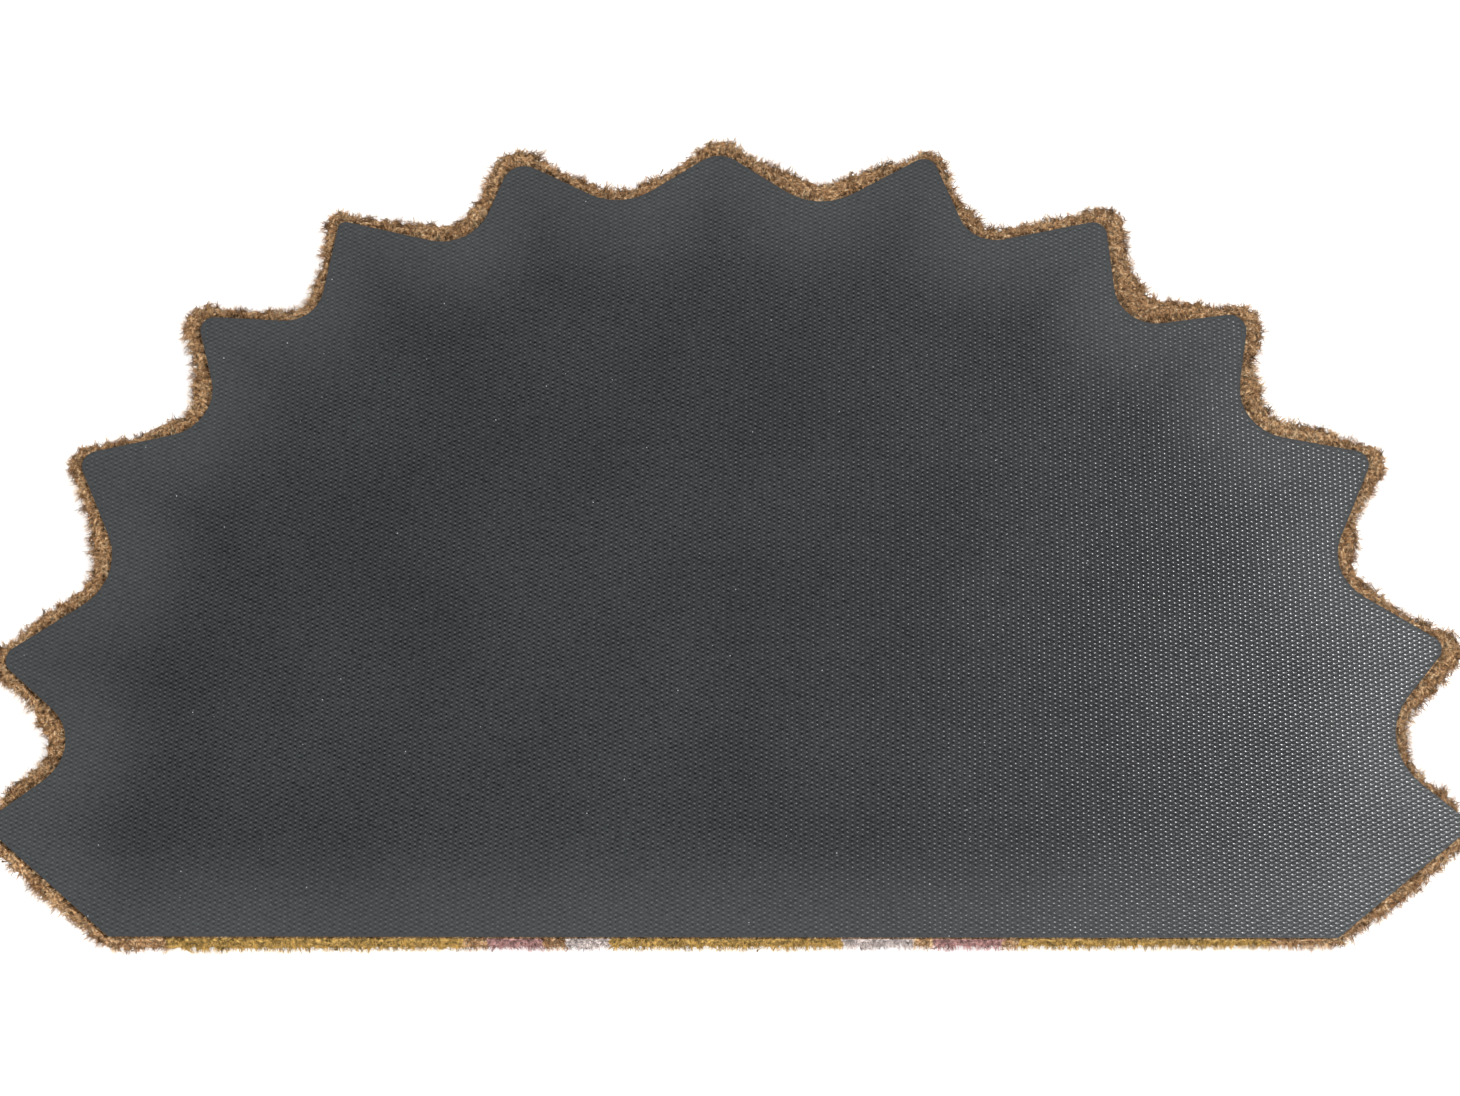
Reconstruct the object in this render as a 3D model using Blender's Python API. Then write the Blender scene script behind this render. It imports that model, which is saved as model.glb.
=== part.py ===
"""A half-sun coir doormat that lies pile down, with its vinyl backing uppermost.

The cut is half a sun: thirteen rays fan out from a centre above the straight edge, with a rounded dip
between each two. The mat is two pieces. The vinyl backing is a flat sheet with that outline. The coir pile
is fused into it, splays past its rim by an uneven amount and ends there in small locks of fibre.

The outline is drawn in millimetres with X along the straight edge and Y towards the middle ray, and is
moved at the end so that the whole mat is centred on the origin and rests on Z = 0.
"""

import bisect
import math
import random
from collections import namedtuple

import bmesh
import bpy
from mathutils import Matrix, Vector

MM = 0.001

# The half-sun cut
CENTRE_UP = 60.0  # from the straight edge to the centre that the rays fan from
STRAIGHT_EDGE = 607.6  # length of the straight edge, corner to corner
CORNER_ROUND = 2.0
RAY_STEP = 15.0  # degrees from one ray to the next, the first along +X
FIRST_DIP = 7.5  # degrees to the first dip, halfway between two rays

# Thickness, from the floor up
PILE_HEIGHT = 12.7
FUSED_GAP = 0.3  # between the pile's solid and the backing's
BACKING_THICK = 2.0

# The locks of fibre at the pile's rim
LOCK_WIDTH = 7.8
LOCK_WIDTH_SPREAD = 0.3  # share by which a lock is wider or narrower
LOCK_DEPTH = 1.3  # how far a usual lock stands out of the grooves beside it
LOCK_DEPTH_SPREAD = 0.6
TRIMMED_DEPTH = 0.5  # share of that depth along the straight edge, which is cut clean
LOCK_SEED = 13

# Share of a ray's splay that is left where its rounding ends, which squares the pile's corners
RAY_EDGE_SPLAY = 0.7

# How finely an outline is drawn: the degrees of arc between points, and the pieces of a straight flank
Fineness = namedtuple("Fineness", "arc_step flank_pieces")
BACKING_FINENESS = Fineness(11.0, 1)
PILE_FINENESS = Fineness(3.0, 12)

# Each ray's corner, from the right end of the straight edge to the left: its lean off the even fan in
# degrees, its reach from the centre, its rounding, how far the pile splays past it, and how far it splays
# halfway down the flank that follows.
Ray = namedtuple("Ray", "lean reach round splay flank_splay")
RAYS = (
    Ray(-0.5, 372.4, 7.0, 5.0, 7.0),
    Ray(-1.1, 376.3, 7.0, 12.0, 6.0),
    Ray(0.2, 386.1, 7.5, 11.0, 12.5),
    Ray(0.2, 387.3, 9.0, 11.5, 14.0),
    Ray(-1.2, 384.7, 7.5, 14.5, 10.0),
    Ray(-1.2, 384.6, 7.5, 8.5, 11.5),
    Ray(0.9, 372.6, 15.5, 13.5, 7.5),
    Ray(2.6, 387.4, 11.5, 14.0, 10.0),
    Ray(2.1, 393.6, 4.0, 11.5, 6.5),
    Ray(0.5, 396.3, 7.0, 13.0, 8.0),
    Ray(-0.2, 394.5, 8.0, 10.0, 7.0),
    Ray(2.0, 383.0, 7.5, 10.0, 5.0),
    Ray(0.3, 372.8, 7.0, 8.5, 7.0),
)

# Each dip between two rays, in the same order and with the same columns.
Dip = namedtuple("Dip", "lean reach round splay flank_splay")
DIPS = (
    Dip(-0.7, 326.9, 32.5, 6.0, 8.5),
    Dip(0.3, 332.0, 26.0, 9.5, 3.5),
    Dip(1.0, 335.9, 27.0, 12.5, 5.0),
    Dip(-0.2, 336.0, 22.0, 18.0, 11.0),
    Dip(0.2, 340.2, 20.5, 10.5, 5.0),
    Dip(-0.6, 338.9, 33.5, 15.0, 12.0),
    Dip(2.2, 343.4, 32.5, 10.0, 8.5),
    Dip(1.0, 343.8, 26.0, 14.0, 10.0),
    Dip(1.1, 350.1, 19.5, 9.0, 9.0),
    Dip(-1.6, 341.4, 25.0, 12.5, 7.0),
    Dip(-0.2, 335.5, 30.5, 11.5, 11.0),
    Dip(0.5, 322.0, 24.5, 11.5, 11.0),
)

# The two ends of the straight edge: the splay at each, and halfway along the run that follows it.
RIGHT_END_SPLAY = 2.0
RIGHT_FLANK_SPLAY = 5.5
LEFT_END_SPLAY = 4.5
STRAIGHT_SPLAY = 3.2

# The pile's rim in section, from the floor up: the share of the splay that each height reaches, and the
# share of a lock's depth that shows there.
Level = namedtuple("Level", "height splay lock")
RIM_LEVELS = (
    Level(0.0, 0.86, 0.8),
    Level(3.6, 1.0, 1.0),
    Level(8.4, 0.95, 1.0),
    Level(PILE_HEIGHT, 0.28, 0.2),
)

# A lock across its width: where its points lie, and the share of its depth that each stands out or in.
Across = namedtuple("Across", "place rise")
LOCK_SHAPE = (Across(0.0, -0.5), Across(0.34, 0.4), Across(0.72, 0.5))

# Edges sharper than this many degrees stay crisp
PILE_CREASE = 60.0
BACKING_CREASE = 30.0

# Colours (linear), roughness and metallic value
Finish = namedtuple("Finish", "colour roughness metallic")
VINYL = Finish((0.062, 0.070, 0.076), 0.5, 0.0)
COIR = Finish((0.36, 0.215, 0.105), 0.92, 0.0)

Corner = namedtuple("Corner", "place round splay edge_splay flank_splay")
RimPoint = namedtuple("RimPoint", "place outward splay trimmed")


def fan_corner(row, even_angle, edge_share):
    """The corner of a ray or dip, from its row and its even place in the fan."""
    angle = math.radians(even_angle + row.lean)
    place = Vector((0.0, CENTRE_UP)) + row.reach * Vector((math.cos(angle), math.sin(angle)))
    return Corner(place, row.round, row.splay, row.splay * edge_share, row.flank_splay)


def end_corner(side, splay, flank_splay):
    """An end of the straight edge: side is 1 for the right one and -1 for the left."""
    place = Vector((side * STRAIGHT_EDGE / 2, 0.0))
    return Corner(place, CORNER_ROUND, splay, splay, flank_splay)


def sun_corners():
    """The corners of the cut, counterclockwise from the right end of the straight edge."""
    corners = [end_corner(1, RIGHT_END_SPLAY, RIGHT_FLANK_SPLAY)]
    for number, ray in enumerate(RAYS):
        corners.append(fan_corner(ray, number * RAY_STEP, RAY_EDGE_SPLAY))
        if number < len(DIPS):
            corners.append(fan_corner(DIPS[number], FIRST_DIP + number * RAY_STEP, 1.0))
    corners.append(end_corner(-1, LEFT_END_SPLAY, STRAIGHT_SPLAY))
    return corners


def eased(start, end, share):
    """A value on a smooth way from start to end."""
    return start + (end - start) * share * share * (3.0 - 2.0 * share)


def rounded_corner(before, corner, after, arc_step):
    """Rim points along the arc that rounds a corner. The outline runs counterclockwise."""
    incoming = (corner.place - before).normalized()
    outgoing = (after - corner.place).normalized()
    turn = math.atan2(incoming.cross(outgoing), incoming.dot(outgoing))
    start = corner.place - incoming * corner.round * math.tan(abs(turn) / 2)
    centre = start + math.copysign(corner.round, turn) * Vector((-incoming.y, incoming.x))
    steps = max(2, round(math.degrees(abs(turn)) / arc_step))
    points = []
    for step in range(steps + 1):
        turned = Matrix.Rotation(turn * step / steps, 2)
        heading = turned @ incoming
        outward = Vector((heading.y, -heading.x))
        middling = math.sin(math.pi * step / steps)
        splay = corner.edge_splay + (corner.splay - corner.edge_splay) * middling
        points.append(RimPoint(centre + turned @ (start - centre), outward, splay, False))
    return points


def flank(start, end, middle_splay, trimmed, pieces):
    """Rim points on the straight run between two arcs, where the splay changes smoothly."""
    points = []
    for piece in range(1, pieces):
        share = piece / pieces
        if share < 0.5:
            splay = eased(start.splay, middle_splay, 2 * share)
        else:
            splay = eased(middle_splay, end.splay, 2 * share - 1)
        points.append(RimPoint(start.place.lerp(end.place, share), start.outward, splay, trimmed))
    return points


def outline(fineness):
    """The cut's outline as rim points: each corner's arc, and the flank that follows it."""
    corners = sun_corners()
    arcs = []
    for number, corner in enumerate(corners):
        after = corners[(number + 1) % len(corners)]
        arcs.append(rounded_corner(corners[number - 1].place, corner, after.place, fineness.arc_step))
    rim = []
    for number, (corner, arc) in enumerate(zip(corners, arcs)):
        next_arc = arcs[(number + 1) % len(arcs)]
        trimmed = number == len(corners) - 1
        rim += arc
        rim += flank(arc[-1], next_arc[0], corner.flank_splay, trimmed, fineness.flank_pieces)
    return rim


def splayed(point, share=1.0, lock=0.0):
    """Where the pile reaches at a rim point: the share of its splay, and a lock's height beyond that."""
    return point.place + point.outward * (point.splay * share + lock)


def between(start, end, share):
    """The rim point at a share of the way between two others."""
    return RimPoint(
        start.place.lerp(end.place, share),
        start.outward.lerp(end.outward, share).normalized(),
        start.splay + (end.splay - start.splay) * share,
        start.trimmed,
    )


def lock_points():
    """The rim points where the locks have their grooves and crests, each with its lock's height there."""
    rim = outline(PILE_FINENESS)
    rim.append(rim[0])
    lengths = [0.0]
    for start, end in zip(rim, rim[1:]):
        lengths.append(lengths[-1] + (splayed(end) - splayed(start)).length)
    chance = random.Random(LOCK_SEED)
    count = round(lengths[-1] / LOCK_WIDTH)
    widths = [1 + LOCK_WIDTH_SPREAD * chance.uniform(-1, 1) for _ in range(count)]
    unit = lengths[-1] / sum(widths)
    points = []
    along = 0.0
    for width in widths:
        depth = LOCK_DEPTH * (1 + LOCK_DEPTH_SPREAD * chance.uniform(-1, 1))
        for across in LOCK_SHAPE:
            at = along + across.place * width * unit
            index = min(bisect.bisect_right(lengths, at), len(lengths) - 1)
            share = (at - lengths[index - 1]) / (lengths[index] - lengths[index - 1])
            point = between(rim[index - 1], rim[index], share)
            deep = depth * (TRIMMED_DEPTH if point.trimmed else 1.0)
            points.append((point, deep * across.rise))
        along += width * unit
    return points


def solid_from_rings(name, rings):
    """A closed mesh from stacked rings of as many points each, with flat ends."""
    form = bmesh.new()
    levels = [[form.verts.new(point * MM) for point in ring] for ring in rings]
    form.faces.new(reversed(levels[0]))
    form.faces.new(levels[-1])
    for lower, upper in zip(levels, levels[1:]):
        for i in range(len(lower)):
            form.faces.new((lower[i - 1], lower[i], upper[i], upper[i - 1]))
    mesh = bpy.data.meshes.new(name)
    form.to_mesh(mesh)
    form.free()
    return mesh


def material(name, finish):
    made = bpy.data.materials.new(name)
    made.use_nodes = True
    shader = made.node_tree.nodes["Principled BSDF"]
    shader.inputs["Base Color"].default_value = (*finish.colour, 1.0)
    shader.inputs["Roughness"].default_value = finish.roughness
    shader.inputs["Metallic"].default_value = finish.metallic
    return made


def add_piece(name, rings, finish, crease):
    """One piece of the mat as its own object."""
    mesh = solid_from_rings(name, rings)
    mesh.shade_smooth()
    mesh.set_sharp_from_angle(angle=math.radians(crease))
    mesh.materials.append(material(name, finish))
    piece = bpy.data.objects.new(name, mesh)
    bpy.context.scene.collection.objects.link(piece)
    return piece


def pile_rings(locks):
    """The pile's rim at each of its levels."""
    rings = []
    for level in RIM_LEVELS:
        ring = [splayed(point, level.splay, level.lock * height) for point, height in locks]
        rings.append([place.to_3d() + Vector((0, 0, level.height)) for place in ring])
    return rings


def backing_rings():
    """The backing's outline at its lower and upper face."""
    lower = Vector((0, 0, PILE_HEIGHT + FUSED_GAP))
    upper = lower + Vector((0, 0, BACKING_THICK))
    edge = [point.place.to_3d() for point in outline(BACKING_FINENESS)]
    return [[place + lower for place in edge], [place + upper for place in edge]]


def centred(rings_of_pieces):
    """All the rings moved so that the box round them is centred on the origin."""
    points = [point for rings in rings_of_pieces for ring in rings for point in ring]
    middle_x = (min(p.x for p in points) + max(p.x for p in points)) / 2
    middle_y = (min(p.y for p in points) + max(p.y for p in points)) / 2
    shift = Vector((middle_x, middle_y, 0))
    return [[[point - shift for point in ring] for ring in rings] for rings in rings_of_pieces]


def main():
    for old in list(bpy.data.objects):
        bpy.data.objects.remove(old)
    pile, backing = centred([pile_rings(lock_points()), backing_rings()])
    add_piece("coir_pile", pile, COIR, PILE_CREASE)
    add_piece("vinyl_backing", backing, VINYL, BACKING_CREASE)


main()
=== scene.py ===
import math

import bmesh
import bpy
from mathutils import Matrix, Vector


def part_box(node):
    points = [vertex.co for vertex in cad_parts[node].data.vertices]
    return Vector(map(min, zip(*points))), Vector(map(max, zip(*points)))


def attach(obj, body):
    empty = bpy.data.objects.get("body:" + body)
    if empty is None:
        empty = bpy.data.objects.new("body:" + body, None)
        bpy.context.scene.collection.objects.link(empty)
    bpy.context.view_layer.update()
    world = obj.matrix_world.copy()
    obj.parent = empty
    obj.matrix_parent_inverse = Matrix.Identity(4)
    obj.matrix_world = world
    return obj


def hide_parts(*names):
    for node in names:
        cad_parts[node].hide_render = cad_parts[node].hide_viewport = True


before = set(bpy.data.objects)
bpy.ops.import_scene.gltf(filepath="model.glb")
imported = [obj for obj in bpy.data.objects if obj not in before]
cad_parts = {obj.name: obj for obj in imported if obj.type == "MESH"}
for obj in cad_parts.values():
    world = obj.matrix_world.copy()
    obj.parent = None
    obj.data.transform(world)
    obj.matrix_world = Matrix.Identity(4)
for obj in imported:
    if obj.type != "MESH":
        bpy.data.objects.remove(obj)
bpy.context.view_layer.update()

# A half-sun coir doormat, lying pile down with its embossed vinyl backing uppermost.
# Sizes are in metres unless a name says otherwise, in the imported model's frame: X along the straight
# edge, Y towards the middle ray, Z up from the floor.

MM = 0.001

# Where the straight edge lies, and the middle of it, from which the dyed rings are struck
BACKING_LOW, BACKING_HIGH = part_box("vinyl_backing")
STRAIGHT_EDGE_Y = BACKING_LOW.y
RING_CENTRE_X = (BACKING_LOW.x + BACKING_HIGH.x) / 2

# The emboss on the vinyl: staggered round bumps, in columns square to the straight edge
COLUMN_STEP = 2.54 * MM  # from one column of bumps to the next
ROW_STEP = 1.215 * MM  # half the distance between two bumps of a column
EMBOSS_HEIGHT = 0.06 * MM  # from the middle level up to a bump, and down to a pit, as modelled
GLEAM_HEIGHT = 0.04 * MM  # the same for the shading, which rounds each bump
WAVER = (0.9 * MM, 0.9 * MM, 0.0)  # full width of the noise that shifts the bumps off their even places
WAVER_SCALE = 80.0  # per metre: it changes over some 12 mm
FLAT_BORDER = 0.4 * MM  # the strip along the cut edge that is pressed quite flat
EDGE_FADE = 2.0 * MM  # how far from the cut edge the emboss reaches its full height
PAINTED_LIGHT_BORDER = 60 * MM  # how far in from the cut edge the sheet is painted paler, a painted light
CROWN_POWER = 2.2  # the higher, the smaller the polished top of each bump
EMBOSS_COLUMNS = 295  # vertices enough to reach past the outline at both ends
EMBOSS_ROWS = 365

# The slabs are deeper than the solids whose outlines they are cut to. The backing's solid is lifted
# past its relief before the cut, which leaves the sheet 1 mm thick, and the pile's is stretched down
# past its lumps
VINYL_SLAB_DEPTH = 10 * MM
PILE_SLAB_DEPTH = 30 * MM
OUTLINE_LIFT = 1.0 * MM
UNDERSIDE_STRETCH = 2.0 * MM

# The pile's body is drawn in at its rim: in full up to one height, and hardly at its top
DRAWN_UP_TO = 8.0 * MM
HARDLY_DRAWN_AT = 12.7 * MM
HARDLY_DRAWN = 0.2 * MM

# Coarse and fine patterns, as noise scales per metre
GRAIN_SCALE = 700.0  # the sheet's own grain, about 1.4 mm across
WEAR_SCALE = 260.0  # scuffed patches, about 4 mm, with glossier crowns and a stronger painted highlight
CLOUD_SCALE = 14.0  # lighter and darker areas, about 70 mm
DUST_SCALE = 110.0  # one speck of dust at most in each 9 mm
FIBRE_SCALE = 600.0  # the pile body's clumps, about 1.7 mm, coarser than real fibre
CLUMP_SCALE = 480.0  # painted light and shade of the locks, about 2 mm
DYE_RUN_SCALE = 350.0  # where the dye has run, about 3 mm

# Bristles are rooted below the backing, and stay just above the floor and just below the backing's face
ROOT_TOP = BACKING_LOW.z - 0.4 * MM
TIP_TOP = BACKING_HIGH.z - 0.15 * MM
TIP_BOTTOM = 0.05 * MM
COVER_SEARCH = 5.0 * MM  # how far above a root the backing is looked for

# The dyed rings on the pile's face: each ring's outer radius in millimetres, on the left and on the right
# of the straight edge, its colour, and whether the fibre is dyed or natural there
RINGS = (
    (53.6, 61.6, "BC9850", True),
    (75.3, 96.2, "DACDC9", True),
    (86.2, 105.6, "A27C58", False),
    (114.5, 140.7, "B68A88", True),
    (125.4, 147.0, "A27C58", False),
    (273.0, 269.0, "BC9850", True),
    (400.0, 400.0, "A27C58", False),
)

# The dye ends at one height under the backing, and at none from a little way outside its edge
DYE_TOP = 12.3 * MM
DYE_PAST_EDGE = 0.9 * MM
DYE_RUN = 6 * MM  # full width of the noise that the dye has run by
DYE_LIFT = 8.0 * MM  # added to heights under the backing's edge, so that one limit serves both places


def linear(code):
    """An sRGB hex colour as linear RGBA."""
    channels = [int(code[i:i + 2], 16) / 255 for i in (0, 2, 4)]
    return (*[c / 12.92 if c <= 0.04045 else ((c + 0.055) / 1.055) ** 2.4 for c in channels], 1.0)


def add(tree, kind, links=None, stops=(), **settings):
    """Adds a node. Links gives its inputs, each a socket or a value, stops gives a colour ramp's places
    and colours, and the other settings go on the node itself."""
    node = tree.nodes.new(kind)
    for name, value in settings.items():
        setattr(node, name, value)
    for key, value in (links or {}).items():
        if isinstance(value, bpy.types.NodeSocket):
            tree.links.new(value, node.inputs[key])
        else:
            node.inputs[key].default_value = value
    if stops:
        elements = node.color_ramp.elements
        while len(elements) < len(stops):
            elements.new(1.0)
        for element, (place, colour) in zip(elements, stops):
            element.position = place
            element.color = colour
    return node


def new_tree(name, sockets):
    """A Geometry Nodes tree with a mesh in and out, and named inputs of the given kinds."""
    tree = bpy.data.node_groups.new(name, "GeometryNodeTree")
    tree.interface.new_socket("Geometry", in_out="INPUT", socket_type="NodeSocketGeometry")
    tree.interface.new_socket("Geometry", in_out="OUTPUT", socket_type="NodeSocketGeometry")
    for label, kind in sockets.items():
        tree.interface.new_socket(label, in_out="INPUT", socket_type="NodeSocket" + kind)
    return tree, add(tree, "NodeGroupInput").outputs


def finish_tree(tree, geometry, material):
    """Ends a tree: its instances made real, and the material set."""
    real = add(tree, "GeometryNodeRealizeInstances", {"Geometry": geometry})
    painted = add(tree, "GeometryNodeSetMaterial", {"Geometry": real.outputs[0], "Material": material})
    add(tree, "NodeGroupOutput", {"Geometry": painted.outputs[0]})


def grown(name, base, tree, values):
    """The mesh that a tree makes from a base mesh, as a plain piece at the origin."""
    piece = bpy.data.objects.new(name, base)
    bpy.context.scene.collection.objects.link(piece)
    modifier = piece.modifiers.new(tree.name, "NODES")
    modifier.node_group = tree
    for socket in tree.interface.items_tree:
        if socket.in_out == "INPUT" and socket.name in values:
            modifier[socket.identifier] = values[socket.name]
    graph = bpy.context.evaluated_depsgraph_get()
    mesh = bpy.data.meshes.new_from_object(
        piece.evaluated_get(graph), preserve_all_data_layers=True, depsgraph=graph
    )
    piece.modifiers.remove(modifier)
    piece.data = mesh
    mesh.name = name
    return piece


def solid_copy(node):
    """A CAD node's solid as one joined mesh."""
    form = bmesh.new()
    form.from_mesh(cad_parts[node].data)
    bmesh.ops.remove_doubles(form, verts=form.verts, dist=0.001 * MM)
    mesh = bpy.data.meshes.new(node + "_solid")
    form.to_mesh(mesh)
    form.free()
    # The solid's own stored normals would flatten the relief that is cut from it
    if "custom_normal" in mesh.attributes:
        mesh.attributes.remove(mesh.attributes["custom_normal"])
    return mesh


def faces_of(mesh, keep):
    """The part of a mesh whose faces pass a test on their normal and middle."""
    form = bmesh.new()
    form.from_mesh(mesh)
    dropped = [face for face in form.faces if not keep(face.normal, face.calc_center_median())]
    bmesh.ops.delete(form, geom=dropped, context="FACES")
    part = bpy.data.meshes.new(mesh.name + "_part")
    form.to_mesh(part)
    form.free()
    return part


def uneven(tree, place):
    """How far the emboss lies off its even lattice at a place. The pattern on the rolls wavers."""
    noise = add(tree, "ShaderNodeTexNoise", {
        "Vector": place, "Scale": WAVER_SCALE, "Detail": 1.0, "Roughness": 0.4,
    })
    colour = next(socket for socket in noise.outputs if socket.name == "Color")
    centred = add(tree, "ShaderNodeVectorMath", {0: colour, 1: (0.5, 0.5, 0.5)}, operation="SUBTRACT")
    wide = add(tree, "ShaderNodeVectorMath", {0: centred.outputs[0], 1: WAVER}, operation="MULTIPLY")
    return wide.outputs[0]


def emboss_tree():
    """The embossed sheet: a slab with a vertex for each bump and pit, cut to the outline."""
    tree, given = new_tree("embossed sheet", {
        "Columns": "Int", "Rows": "Int", "Column Step": "Float", "Row Step": "Float",
        "Face Height": "Float", "Emboss Height": "Float", "Edge Fade": "Float", "Material": "Material",
    })
    outline = given["Geometry"]
    span_x = add(tree, "ShaderNodeMath", {0: given["Columns"], 1: 1}, operation="SUBTRACT")
    span_y = add(tree, "ShaderNodeMath", {0: given["Rows"], 1: 1}, operation="SUBTRACT")
    wide = add(tree, "ShaderNodeMath", {
        0: span_x.outputs[0], 1: given["Column Step"],
    }, operation="MULTIPLY")
    long = add(tree, "ShaderNodeMath", {
        0: span_y.outputs[0], 1: given["Row Step"],
    }, operation="MULTIPLY")
    size = add(tree, "ShaderNodeCombineXYZ", {
        "X": wide.outputs[0], "Y": long.outputs[0], "Z": VINYL_SLAB_DEPTH,
    })
    slab = add(tree, "GeometryNodeMeshCube", {
        "Size": size.outputs[0], "Vertices X": given["Columns"], "Vertices Y": given["Rows"],
        "Vertices Z": 2,
    })
    lift = add(tree, "ShaderNodeMath", {
        0: given["Face Height"], 1: VINYL_SLAB_DEPTH / 2,
    }, operation="SUBTRACT")
    lifted = add(tree, "ShaderNodeCombineXYZ", {"Z": lift.outputs[0]})
    raised = add(tree, "GeometryNodeTransform", {
        "Geometry": slab.outputs["Mesh"], "Translation": lifted.outputs[0],
    })
    place = add(tree, "ShaderNodeSeparateXYZ", {0: add(tree, "GeometryNodeInputPosition").outputs[0]})
    waves = []
    for axis, step in (("X", "Column Step"), ("Y", "Row Step")):
        turns = add(tree, "ShaderNodeMath", {
            0: place.outputs[axis], 1: given[step],
        }, operation="DIVIDE")
        angle = add(tree, "ShaderNodeMath", {0: turns.outputs[0], 1: math.pi}, operation="MULTIPLY")
        waves.append(add(tree, "ShaderNodeMath", {0: angle.outputs[0]}, operation="COSINE"))
    emboss = add(tree, "ShaderNodeMath", {
        0: waves[0].outputs[0], 1: waves[1].outputs[0],
    }, operation="MULTIPLY")
    # How far each point lies from the cut edge, where the emboss is pressed flat
    facing = add(tree, "ShaderNodeSeparateXYZ", {
        0: add(tree, "GeometryNodeInputNormal").outputs["True Normal"],
    })
    level = add(tree, "ShaderNodeMath", {0: facing.outputs["Z"]}, operation="ABSOLUTE")
    flat = add(tree, "FunctionNodeCompare", {0: level.outputs[0], 1: 0.5}, operation="GREATER_THAN")
    wall = add(tree, "GeometryNodeDeleteGeometry", {
        "Geometry": outline, "Selection": flat.outputs[0],
    }, domain="FACE")
    near = add(tree, "GeometryNodeProximity", {"Geometry": wall.outputs[0]}, target_element="FACES")
    fade = add(tree, "ShaderNodeMapRange", {
        0: near.outputs["Distance"], 1: FLAT_BORDER, 2: given["Edge Fade"],
    })
    fading = add(tree, "ShaderNodeMath", {
        0: emboss.outputs[0], 1: fade.outputs[0],
    }, operation="MULTIPLY")
    below = add(tree, "ShaderNodeMath", {0: fading.outputs[0], 1: 1.0}, operation="SUBTRACT")
    drop = add(tree, "ShaderNodeMath", {
        0: below.outputs[0], 1: given["Emboss Height"],
    }, operation="MULTIPLY")
    pressed = add(tree, "ShaderNodeCombineXYZ", {"Z": drop.outputs[0]})
    upper = add(tree, "FunctionNodeCompare", {
        0: place.outputs["Z"], 1: lift.outputs[0],
    }, operation="GREATER_THAN")
    relief = add(tree, "GeometryNodeSetPosition", {
        "Geometry": raised.outputs[0], "Selection": upper.outputs[0], "Offset": pressed.outputs[0],
    })
    # Each cell is split along the line between its two pits, so that every bump stands alone
    cells = []
    for axis, step in (("X", "Column Step"), ("Y", "Row Step")):
        cell = add(tree, "ShaderNodeMath", {0: place.outputs[axis], 1: given[step]}, operation="DIVIDE")
        cells.append(add(tree, "ShaderNodeMath", {0: cell.outputs[0]}, operation="FLOOR"))
    both = add(tree, "ShaderNodeMath", {
        0: cells[0].outputs[0], 1: cells[1].outputs[0],
    }, operation="ADD")
    parity = add(tree, "ShaderNodeMath", {0: both.outputs[0], 1: 2.0}, operation="FLOORED_MODULO")
    even = add(tree, "FunctionNodeCompare", {0: parity.outputs[0], 1: 0.5}, operation="GREATER_THAN")
    first = add(tree, "GeometryNodeTriangulate", {
        "Mesh": relief.outputs[0], "Selection": even.outputs[0],
    }, quad_method="FIXED")
    second = add(tree, "GeometryNodeTriangulate", {
        "Mesh": first.outputs[0],
    }, quad_method="FIXED_ALTERNATE")
    waver = uneven(tree, add(tree, "GeometryNodeInputPosition").outputs[0])
    against = add(tree, "ShaderNodeVectorMath", {0: waver, "Scale": -1.0}, operation="SCALE")
    wavering = add(tree, "GeometryNodeSetPosition", {
        "Geometry": second.outputs[0], "Offset": against.outputs[0],
    })
    # The outline's solid is lifted above the relief before the cut
    taller = add(tree, "ShaderNodeCombineXYZ", {"Z": OUTLINE_LIFT})
    raised_outline = add(tree, "GeometryNodeSetPosition", {
        "Geometry": outline, "Selection": upper.outputs[0], "Offset": taller.outputs[0],
    })
    cut = add(tree, "GeometryNodeMeshBoolean", {
        "Mesh 2": wavering.outputs[0],
    }, operation="INTERSECT", solver="MANIFOLD")
    tree.links.new(raised_outline.outputs[0], cut.inputs["Mesh 2"])
    marked = add(tree, "GeometryNodeStoreNamedAttribute", {
        "Geometry": cut.outputs["Mesh"], "Name": "edge_distance", "Value": near.outputs["Distance"],
    })
    finish_tree(tree, marked.outputs[0], given["Material"])
    return tree


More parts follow.
